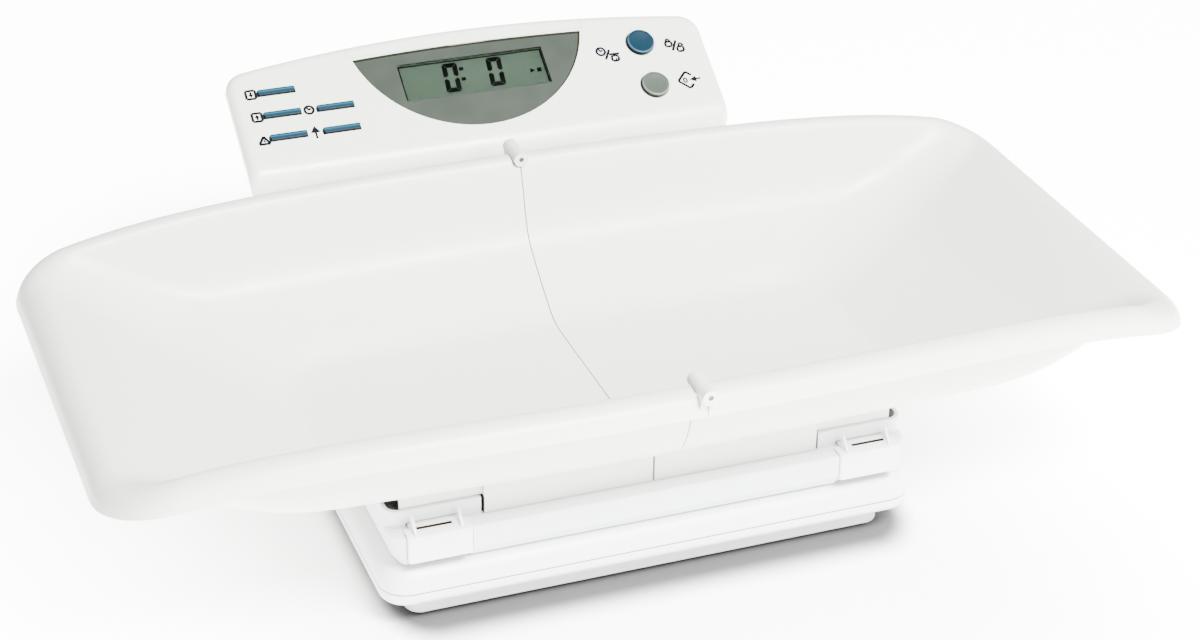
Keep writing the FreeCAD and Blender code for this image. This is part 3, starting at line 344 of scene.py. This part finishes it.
# painted shadow: dark strips at the left end and along the lower edge of each bar button
shade_rects(M["console_plastic"], (0.006, 0.012, 0.018),
            [((x - 12.5) / 1000, (x - 11.5) / 1000, (s - 2.3) / 1000, (s + 1.2) / 1000) for x, s in BARS] +
            [((x - 12.1) / 1000, (x + 11.8) / 1000, (s - 2.5) / 1000, (s - 1.9) / 1000) for x, s in BARS])
# painted shadow: a dark crescent in the recess to the lower left of each round button
for s_ in (0.0012, -0.0314):
    shade_crescent(M["console_plastic"], (0.04, 0.048, 0.05), 0.112, s_, 0.0087, 0.0097, -0.003, 0.0004)
# latch_plastic is the white plastic with painted shade inside the slot of each latch
M["latch_plastic"] = plastic("latch_plastic", (0.73, 0.745, 0.74), (0.71, 0.728, 0.724), rough=0.36, spread=0.04,
                             grain=1500.0, grain_h=0.00003, grain_s=0.3)
shade_box(M["latch_plastic"], (0.02, 0.012, 0.008), [((0.1174, 0.1376), (-0.1415, -0.1389), (0.0425, 0.0621))])
# a darker, cooler grey than the white plastic: the darkening is painted shade for the shaded platform front; painted
# shade also fills the slot behind each latch
M["platform_plastic"] = plastic("platform_plastic", (0.63, 0.655, 0.655), (0.615, 0.64, 0.642), rough=0.36, spread=0.04,
                                grain=1500.0, grain_h=0.00003, grain_s=0.3)
shade_box(M["platform_plastic"], (0.03, 0.022, 0.016), [((0.1176, 0.1374), (-0.1411, -0.1370), (0.050, 0.0605))])
M["pin_steel"] = metal("pin_steel", (0.13, 0.12, 0.105), 0.5)
M["plate_steel"] = metal("plate_steel", (0.5, 0.5, 0.51), 0.38, (1, 14, 1))
M["screw_steel"] = metal("screw_steel", (0.56, 0.56, 0.57), 0.3)
M["rubber_black"] = rubber("rubber_black", (0.02, 0.02, 0.021))
M["rubber_grey"] = rubber("rubber_grey", (0.11, 0.11, 0.112))
M["cell_aluminium"] = metal("cell_aluminium", (0.68, 0.69, 0.71), 0.33, (1, 1, 10))
M["black_plastic"] = plastic("black_plastic", (0.02, 0.02, 0.021), (0.028, 0.028, 0.03), rough=0.5, spread=0.06, grain=1200.0)
M["contact_metal"] = metal("contact_metal", (0.62, 0.6, 0.56), 0.25)
M["button_blue"] = plastic("button_blue", (0.0045, 0.026, 0.046), (0.006, 0.029, 0.050), rough=0.34, spread=0.05, grain=2200.0,
                           grain_h=0.00001, grain_s=0.1, spec=0.1)
M["button_round"] = plastic("button_round", (0.0045, 0.0160, 0.0276), (0.0028, 0.0170, 0.0295), rough=0.34, spread=0.05,
                            grain=2200.0, grain_h=0.00001, grain_s=0.1, spec=0.18)
M["button_grey"] = plastic("button_grey", (0.038, 0.050, 0.039), (0.041, 0.053, 0.042), rough=0.34, spread=0.05, grain=2200.0)
bar_painted_light(M["button_blue"])
# painted shade on the lower-left side wall of each round cap
for key_, s_, col_ in (("button_round", 0.0012, (0.0004, 0.006, 0.012)), ("button_grey", -0.0314, (0.016, 0.021, 0.017))):
    shade_crescent(M[key_], col_, 0.112, s_, 0.0083, 0.0095, -0.004, 0.0012)
# painted highlight on the lower rim of each round cap
cap_rim_painted_highlight(M["button_round"], (0.03, 0.085, 0.13), 0.112, 0.0012, 0.0078, 0.0087, 0.0013)
cap_rim_painted_highlight(M["button_grey"], (0.12, 0.145, 0.125), 0.112, -0.0314, 0.0078, 0.0087, 0.0013)
M["lead_grey"] = plastic("lead_grey", (0.2, 0.2, 0.21), (0.24, 0.24, 0.25), rough=0.5, spread=0.05)
M["component_black"] = plastic("component_black", (0.02, 0.02, 0.022), (0.035, 0.035, 0.038), rough=0.4, spread=0.08)


def cell_jacket():
    m, nt, bs = new_mat("cell_jacket")
    v = coords(nt)
    sx = nt.nodes.new("ShaderNodeSeparateXYZ")
    nt.links.new(v, sx.inputs[0])
    ab = nt.nodes.new("ShaderNodeMath")
    ab.operation = "ABSOLUTE"
    nt.links.new(sx.outputs[0], ab.inputs[0])
    step = nt.nodes.new("ShaderNodeMapRange")
    step.inputs[1].default_value = 0.0385
    step.inputs[2].default_value = 0.0387
    nt.links.new(ab.outputs[0], step.inputs[0])
    nt.links.new(mix_col(nt, step.outputs[0], (0.05, 0.055, 0.06), (0.55, 0.34, 0.09)), bs.inputs["Base Color"])
    nt.links.new(to_range(nt, noise(nt, v, 90.0), 0.22, 0.32), bs.inputs["Roughness"])
    bs.inputs["Metallic"].default_value = 0.4
    return m


def board_mat():
    m, nt, bs = new_mat("board_green")
    v = coords(nt)
    vo = nt.nodes.new("ShaderNodeTexVoronoi")
    vo.feature = "DISTANCE_TO_EDGE"
    vo.inputs["Scale"].default_value = 160.0
    nt.links.new(v, vo.inputs["Vector"])
    nt.links.new(mix_col(nt, to_range(nt, vo.outputs[0], 1, 0, 0.03, 0.05), (0.012, 0.13, 0.06), (0.03, 0.2, 0.09)),
                 bs.inputs["Base Color"])
    nt.links.new(to_range(nt, noise(nt, v, 200.0), 0.3, 0.42), bs.inputs["Roughness"])
    bump(nt, vo.outputs[0], 0.2, 0.00003, bs)
    return m


def window_mat():
    m, nt, bs = new_mat("window_clear")
    v = coords(nt)
    bs.inputs["Base Color"].default_value = (0.97, 0.985, 0.975, 1)
    bs.inputs["Transmission Weight"].default_value = 1.0
    bs.inputs["IOR"].default_value = 1.04
    nt.links.new(to_range(nt, noise(nt, v, 50.0), 0.0, 0.008), bs.inputs["Roughness"])
    return m


M["cell_jacket"] = cell_jacket()
M["board_green"] = board_mat()
M["window_clear"] = window_mat()
M["panel_plastic"] = plastic("panel_plastic", (0.0165, 0.0233, 0.0163), (0.0178, 0.0250, 0.0176), rough=0.42, spread=0.03,
                             grain=400.0, grain_h=0.000004, grain_s=0.05)
M["lcd_surface"] = plastic("lcd_surface", (0.080, 0.122, 0.087), (0.085, 0.128, 0.092), rough=0.45, spread=0.03,
                           grain=400.0, grain_h=0.000004, grain_s=0.05, spec=0.25)
M["ink"] = plastic("ink", (0.002, 0.0022, 0.0025), (0.003, 0.0032, 0.0036), rough=0.6, spread=0.04, grain=2500.0,
                   grain_s=0.05, spec=0.02)
# dark colour for strips of painted shade along the LCD window's and the lens panel's edges
M["painted_shade_line"] = plastic("painted_shade_line", (0.010, 0.011, 0.007), (0.013, 0.014, 0.009), rough=0.6, spread=0.04, grain=2500.0,
                         grain_s=0.05, spec=0.05)
M["print_ink"] = plastic("print_ink", (0.004, 0.005, 0.008), (0.006, 0.007, 0.011), rough=0.6, spread=0.04, grain=2500.0,
                         grain_s=0.05, spec=0.02)


for sp in frame["record"]["subparts"]:
    ob = N[sp["node"]]
    mat = M[sp["material_slot"]]
    if sp["node"] in ("console_front_shell", "console_top_strip", "console_rear_shell", "battery_door",
                      "riser_front_cover", "riser_rear_cover"):
        mat = M["console_plastic"]
    if sp["node"] in ("latch_right", "latch_left"):
        mat = M["latch_plastic"]
    if sp["node"] in ("base_top_cover", "base_bottom_pan"):
        mat = M["base_plastic"]
    if sp["node"] == "button_hold":
        mat = M["button_round"]
    if sp["node"] == "platform_shell":
        mat = M["platform_plastic"]
    ob.data.materials.clear()
    ob.data.materials.append(mat)

# ------------------------------------------------------------------ geometry on the console's face


def on_face(x, s, n=0.0):
    """Millimetres across, up the slope and out of the face, to the row frame in metres."""
    return Vector((x, 227.1 + s * CA - n * SA - 50.0, 176.5 + s * SA + n * CA)) / 1000.0


def plates(name, polys, n0, n1, mat, body):
    """Thin closed plates on the face, from outlines in face millimetres."""
    bm = bmesh.new()
    for poly in polys:
        lo = [bm.verts.new(on_face(x, s, n0)) for x, s in poly]
        hi = [bm.verts.new(on_face(x, s, n1)) for x, s in poly]
        k = len(poly)
        bm.faces.new(hi)
        bm.faces.new(lo[::-1])
        for i in range(k):
            bm.faces.new((lo[i], lo[(i + 1) % k], hi[(i + 1) % k], hi[i]))
    bmesh.ops.recalc_face_normals(bm, faces=bm.faces)
    me = bpy.data.meshes.new(name)
    bm.to_mesh(me)
    bm.free()
    ob = bpy.data.objects.new(name, me)
    bpy.context.scene.collection.objects.link(ob)
    me.materials.append(M[mat])
    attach(ob, body)
    return ob


def digit(cx, cs, w, h, t, slant, segs="abcdef"):
    """Outlines of a seven-segment digit with mitred gaps and clipped outer corners."""
    g, c, m = 0.16, 0.95, 0.55
    hw, hh = w / 2, h / 2
    out = []

    def add(pts):
        out.append([(cx + x + slant * y, cs + y) for x, y in pts])
    for key, up in (("a", 1), ("d", -1)):
        if key in segs:
            add([(-hw + c + g, up * hh), (hw - c - g, up * hh), (hw - c * 0.5 - g, up * (hh - c * 0.5)),
                 (hw - t - g, up * (hh - t)), (-hw + t + g, up * (hh - t)), (-hw + c * 0.5 + g, up * (hh - c * 0.5))])
    for key, sx, up in (("f", -1, 1), ("b", 1, 1), ("e", -1, -1), ("c", 1, -1)):
        if key in segs:
            add([(sx * (hw - c * 0.5), up * (hh - c * 0.5 - g)), (sx * hw, up * (hh - c - g)), (sx * hw, up * (m + t * 0.3)),
                 (sx * (hw - t * 0.42), up * m), (sx * (hw - t), up * (m + t * 0.42)), (sx * (hw - t), up * (hh - t - g))])
    if "g" in segs:
        add([(-hw + t, t / 2), (hw - t, t / 2), (hw - t * 0.6, 0), (hw - t, -t / 2), (-hw + t, -t / 2), (-hw + t * 0.6, 0)])
    return out


LCD_N = -3.2
segs = digit(-14.95, -3.85, 9.8, 21.2, 3.1, 0.08) + digit(14.05, -3.6, 9.8, 21.2, 3.1, 0.08)
for x, s in ((-7.3, 1.6), (-7.7, -5.9)):
    segs.append([(x - 1.45, s - 1.15), (x + 1.35, s - 1.15), (x + 1.55, s + 1.15), (x - 1.25, s + 1.15)])
segs.append([(36.0, -8.2), (39.4, -6.5), (36.3, -4.8)])
segs.append([(40.6, -8.0), (43.4, -8.0), (43.6, -5.1), (40.8, -5.1)])
# painted shadow: dark strips on the LCD along its left, top and right edges, where the window walls cast shadow
lcd_shadow_strips = [[(-47.7, -18.1), (-46.3, -18.1), (-46.3, 8.8), (-47.7, 8.8)], [(-46.3, 7.7), (46.8, 7.7), (46.8, 8.8), (-46.3, 8.8)],
          [(45.8, -18.1), (46.8, -18.1), (46.8, 7.7), (45.8, 7.7)]]
plates("lcd_painted_shadow", lcd_shadow_strips, LCD_N + 0.005, LCD_N + 0.04, "painted_shade_line", "base")
plates("lcd_segments", segs, LCD_N + 0.01, LCD_N + 0.06, "ink", "base")


# --- painted shade: a dark strip round the panel's top and right edges, where the recess wall lies in shade
PX, PS, PR = 0.4, 34.6, 77.0
xe = math.sqrt(PR * PR - (PS - 16.0) ** 2)
edge = []
for k in range(24):
    xa, xb = PX - xe + 2 * xe * k / 24, PX - xe + 2 * xe * (k + 1) / 24
    ta, tb = (16.0 + 2.1 * (1 - ((x - PX) / xe) ** 2) for x in (xa, xb))
    edge.append([(xa, ta - 1.25), (xb, tb - 1.25), (xb, tb), (xa, ta)])
a0 = math.atan2(16.0 - PS, xe)
for k in range(26):
    u0, u1 = k / 26, (k + 1) / 26
    aa, ab = a0 - 1.0 * u0, a0 - 1.0 * u1
    wa, wb = 1.15 - 0.9 * u0, 1.15 - 0.9 * u1
    edge.append([(PX + PR * math.cos(aa), PS + PR * math.sin(aa)), (PX + PR * math.cos(ab), PS + PR * math.sin(ab)),
                 (PX + (PR - wb) * math.cos(ab), PS + (PR - wb) * math.sin(ab)),
                 (PX + (PR - wa) * math.cos(aa), PS + (PR - wa) * math.sin(aa))])
plates("panel_line", edge, -0.76, -0.72, "painted_shade_line", "base")


# --- printed symbols beside the buttons
def ring(cx, cs, r, t, k=28):
    return [[(cx + rr * math.cos(a), cs + rr * math.sin(a)) for rr, a in
             ((r, 2 * math.pi * i / k), (r, 2 * math.pi * (i + 1) / k), (r - t, 2 * math.pi * (i + 1) / k),
              (r - t, 2 * math.pi * i / k))] for i in range(k)]


def stroke(p, q, t):
    dx, dy = q[0] - p[0], q[1] - p[1]
    l = math.hypot(dx, dy)
    nx, ny = -dy / l * t / 2, dx / l * t / 2
    return [(p[0] + nx, p[1] + ny), (p[0] - nx, p[1] - ny), (q[0] - nx, q[1] - ny), (q[0] + nx, q[1] + ny)]


def path(pts, t, close=False):
    pts = list(pts)
    if close:
        pts.append(pts[0])
    return [stroke(a, b, t) for a, b in zip(pts, pts[1:])]


def rect(cx, cs, w, h, t):
    return path([(cx - w / 2, cs - h / 2), (cx + w / 2, cs - h / 2), (cx + w / 2, cs + h / 2), (cx - w / 2, cs + h / 2)], t, True)


def rrect(cx, cs, w, h, r, t):
    pts = []
    for sx, sy, a0 in ((1, 1, 0), (-1, 1, 90), (-1, -1, 180), (1, -1, 270)):
        for k in range(5):
            a = math.radians(a0 + 22.5 * k)
            pts.append((cx + sx * (w / 2 - r) + r * math.cos(a), cs + sy * (h / 2 - r) + r * math.sin(a)))
    return path(pts, t, True)


def arc(cx, cs, r, a0, a1, t, k=10):
    pts = [(cx + r * math.cos(math.radians(a0 + (a1 - a0) * i / k)), cs + r * math.sin(math.radians(a0 + (a1 - a0) * i / k)))
           for i in range(k + 1)]
    return path(pts, t)


LINE = 1.7
# store: a framed arrow down onto a line; recall: a framed arrow up off a line
for nm, cx, cs, up in (("print_store", -142.0, 1.1, -1), ("print_recall", -141.9, -15.35, 1)):
    art = rrect(cx - 0.1, cs, 5.9, 5.9, 0.3, LINE - 0.05)
    art += [[(cx - 1.9, cs - up * 0.3), (cx + 1.9, cs - up * 0.3), (cx, cs + up * 2.0)]]
    art += [stroke((cx, cs - up * 1.9), (cx, cs + up * 0.2), 1.4)]
    plates(nm, art, -0.02, 0.03, "print_ink", "base")
# compare: a triangle with a smaller one inside
art = path([(-141.5, -29.4), (-145.0, -34.7), (-138.2, -34.7)], LINE, True)
art += [[(-141.5, -31.3), (-142.6, -33.3), (-140.5, -33.3)]]
plates("print_compare", art, -0.02, 0.03, "print_ink", "base")


def clock(cx, cs, r):
    return ring(cx, cs, r + 0.5, LINE - 0.05) + path([(cx - 1.0, cs + 1.6), (cx - 0.05, cs - 0.15), (cx + 1.3, cs + 1.05)], 1.35)


plates("print_clock", clock(-109.55, -15.05, 3.05), -0.02, 0.03, "print_ink", "base")
plates("print_arrow_up", [[(-112.5, -31.6), (-106.3, -31.6), (-109.4, -26.6)], stroke((-109.4, -31.3), (-109.3, -35.8), 1.4)],
       -0.02, 0.03, "print_ink", "base")
# clock or scale
art = clock(84.2, -1.6, 3.1) + [stroke((90.0, -0.9), (85.9, -7.8), LINE)]
art += [stroke((89.0, -4.45), (95.8, -4.6), LINE), stroke((92.3, -4.5), (92.3, -5.3), 1.2)]
art += path([(90.3, -9.7), (89.9, -7.2), (90.9, -5.6), (93.6, -5.6), (94.7, -7.2), (94.4, -9.7)], LINE, True)
art += [stroke((92.3, -9.4), (93.1, -7.8), 0.8)]
plates("print_clock_scale", art, -0.02, 0.03, "print_ink", "base")


def padlock(cx, cs, opened):
    a = rrect(cx, cs, 4.1, 3.6, 0.45, LINE)
    if opened:
        a += arc(cx + 0.7, cs + 3.0, 1.25, 0, 180, LINE) + [stroke((cx + 1.95, cs + 3.0), (cx + 1.95, cs + 2.2), LINE)]
    else:
        a += arc(cx, cs + 2.6, 1.2, 0, 180, LINE)
    for sx in ((-0.55,) if opened else (-1.2, 1.2)):
        a.append(stroke((cx + sx, cs + 1.7), (cx + sx, cs + (3.05 if opened else 2.65)), LINE))
    return a


art = padlock(130.1, -2.7, False) + [stroke((135.6, -0.6), (131.5, -8.0), LINE)] + padlock(137.0, -7.3, True)
plates("print_padlocks", art, -0.02, 0.03, "print_ink", "base")
# to zero: a diamond with a nought and an arrow into it
art = path([(137.6, -27.9), (134.2, -24.8), (127.9, -31.1), (134.4, -37.4), (137.5, -34.5)], LINE)
art += [[(135.3, -31.0), (140.0, -33.3), (140.0, -28.7)], stroke((139.6, -31.0), (143.0, -31.0), 1.3)]
oval = [(132.6 + 1.1 * math.cos(math.radians(a)), -31.1 + 1.75 * math.sin(math.radians(a))) for a in range(0, 360, 24)]
art += path(oval, 1.25, True)
plates("print_to_zero", art, -0.02, 0.03, "print_ink", "base")

# ------------------------------------------------------------------ floor and light


def floor():
    """A white sweep that glows like a light table, with a painted soft shadow around the base: darker colour and less
    glow near it.
    """
    m, nt, bs = new_mat("floor")
    v = coords(nt)
    bs.inputs["Roughness"].default_value = 0.8
    bs.inputs["Emission Color"].default_value = (1, 1, 1, 1)

    def away(cx, cy, hx, hy, r):
        """Distance from a rectangle with round corners."""
        dx = calc(nt, "SUBTRACT", calc(nt, "ABSOLUTE", along(nt, v, (1, 0, 0), (cx, 0, 0)), 0.0), hx - r)
        dy = calc(nt, "SUBTRACT", calc(nt, "ABSOLUTE", along(nt, v, (0, 1, 0), (0, cy, 0)), 0.0), hy - r)
        dx = calc(nt, "MULTIPLY", calc(nt, "MAXIMUM", dx, 0.0), SHADE[6])
        dy = calc(nt, "MAXIMUM", dy, 0.0)
        return calc(nt, "SUBTRACT", calc(nt, "SQRT", calc(nt, "ADD", calc(nt, "MULTIPLY", dx, dx),
                                                          calc(nt, "MULTIPLY", dy, dy)), 0.0), r)

    def ramp(d, lo, hi, a, b):
        r = nt.nodes.new("ShaderNodeMapRange")
        r.interpolation_type = "SMOOTHSTEP"
        for k, q in zip((1, 2, 3, 4), (lo, hi, a, b)):
            r.inputs[k].default_value = q
        nt.links.new(d, r.inputs[0])
        return r.outputs[0]
    d = away(SHADE[0], SHADE[1], SHADE[2], SHADE[3], 0.03)
    near = ramp(d, 0.0, SHADE[4], 0.0, 1.0)
    near = calc(nt, "POWER", near, SHADE[5])
    # near mixes in the painted shadow's dark grey close to the base and cuts the glow there
    white = mix_col(nt, to_range(nt, noise(nt, v, 0.8, 2.0), 0, 1), (0.9, 0.9, 0.9), (0.885, 0.885, 0.885))
    mx = nt.nodes.new("ShaderNodeMix")
    mx.data_type = "RGBA"
    nt.links.new(near, mx.inputs[0])
    mx.inputs[6].default_value = (0.07, 0.07, 0.07, 1)
    nt.links.new(white, mx.inputs[7])
    nt.links.new(mx.outputs[2], bs.inputs["Base Color"])
    glow = calc(nt, "MULTIPLY", near, ramp(d, 0.01, 0.34, GLOW[0], GLOW[1]))
    left = ramp(along(nt, v, (-0.9865, 0.1637, 0), (-0.353, -0.081, 0)), 0.0, 0.7, 1.0, GLOW[2])
    front = ramp(along(nt, v, (-0.8, -0.6, 0), (-0.353, -0.081, 0)), -0.02, 0.4, 1.0, GLOW[3])
    side = ramp(along(nt, v, (0.8485, -0.5295, 0), (0.257, -0.294, 0)), 0.0, 0.9, 1.0, GLOW[2])
    rear = ramp(along(nt, v, (0.361, 0.932, 0), (-0.205, 0.811, 0)), 0.05, 1.1, 1.0, GLOW[2])
    for f in (left, front, side, rear):
        glow = calc(nt, "MULTIPLY", glow, f)
    nt.links.new(glow, bs.inputs["Emission Strength"])
    me = bpy.data.meshes.new("floor")
    me.from_pydata([(-14, -10, 0), (14, -10, 0), (14, 18, 0), (-14, 18, 0)], [], [(0, 1, 2, 3)])
    ob = bpy.data.objects.new("floor", me)
    me.materials.append(m)
    bpy.context.scene.collection.objects.link(ob)


# SHADE: centre, half sizes, blur, power and x stretch of the painted shadow; GLOW: floor glow near and far, its fade to
# the left, side and rear, and its fade to the front
SHADE = (0.004, 0.014, 0.159, 0.158, 0.027, 1.2, 1.5)
GLOW = (2.2, 11.0, 0.18, 0.15)
floor()


def area(name, loc, target, size, power, col=(1, 1, 1)):
    l = bpy.data.lights.new(name, "AREA")
    l.shape = "RECTANGLE"
    l.size, l.size_y = size
    l.energy = power
    l.color = col
    o = bpy.data.objects.new(name, l)
    bpy.context.scene.collection.objects.link(o)
    o.location = loc
    d = Vector(target) - Vector(loc)
    o.rotation_euler = d.to_track_quat("-Z", "Y").to_euler()
    return o


w = bpy.data.worlds.new("studio")
bpy.context.scene.world = w
w.use_nodes = True
bg = w.node_tree.nodes["Background"]
bg.inputs[0].default_value = (1.0, 1.0, 1.0, 1)
bg.inputs[1].default_value = 0.5
area("fill", (0.9, -1.8, 1.3), (0, 0, 0.08), (0.8, 0.6), 60)
area("key", (0.4, -1.42, 1.85), (0, 0, 0.1), (0.7, 0.55), 330)
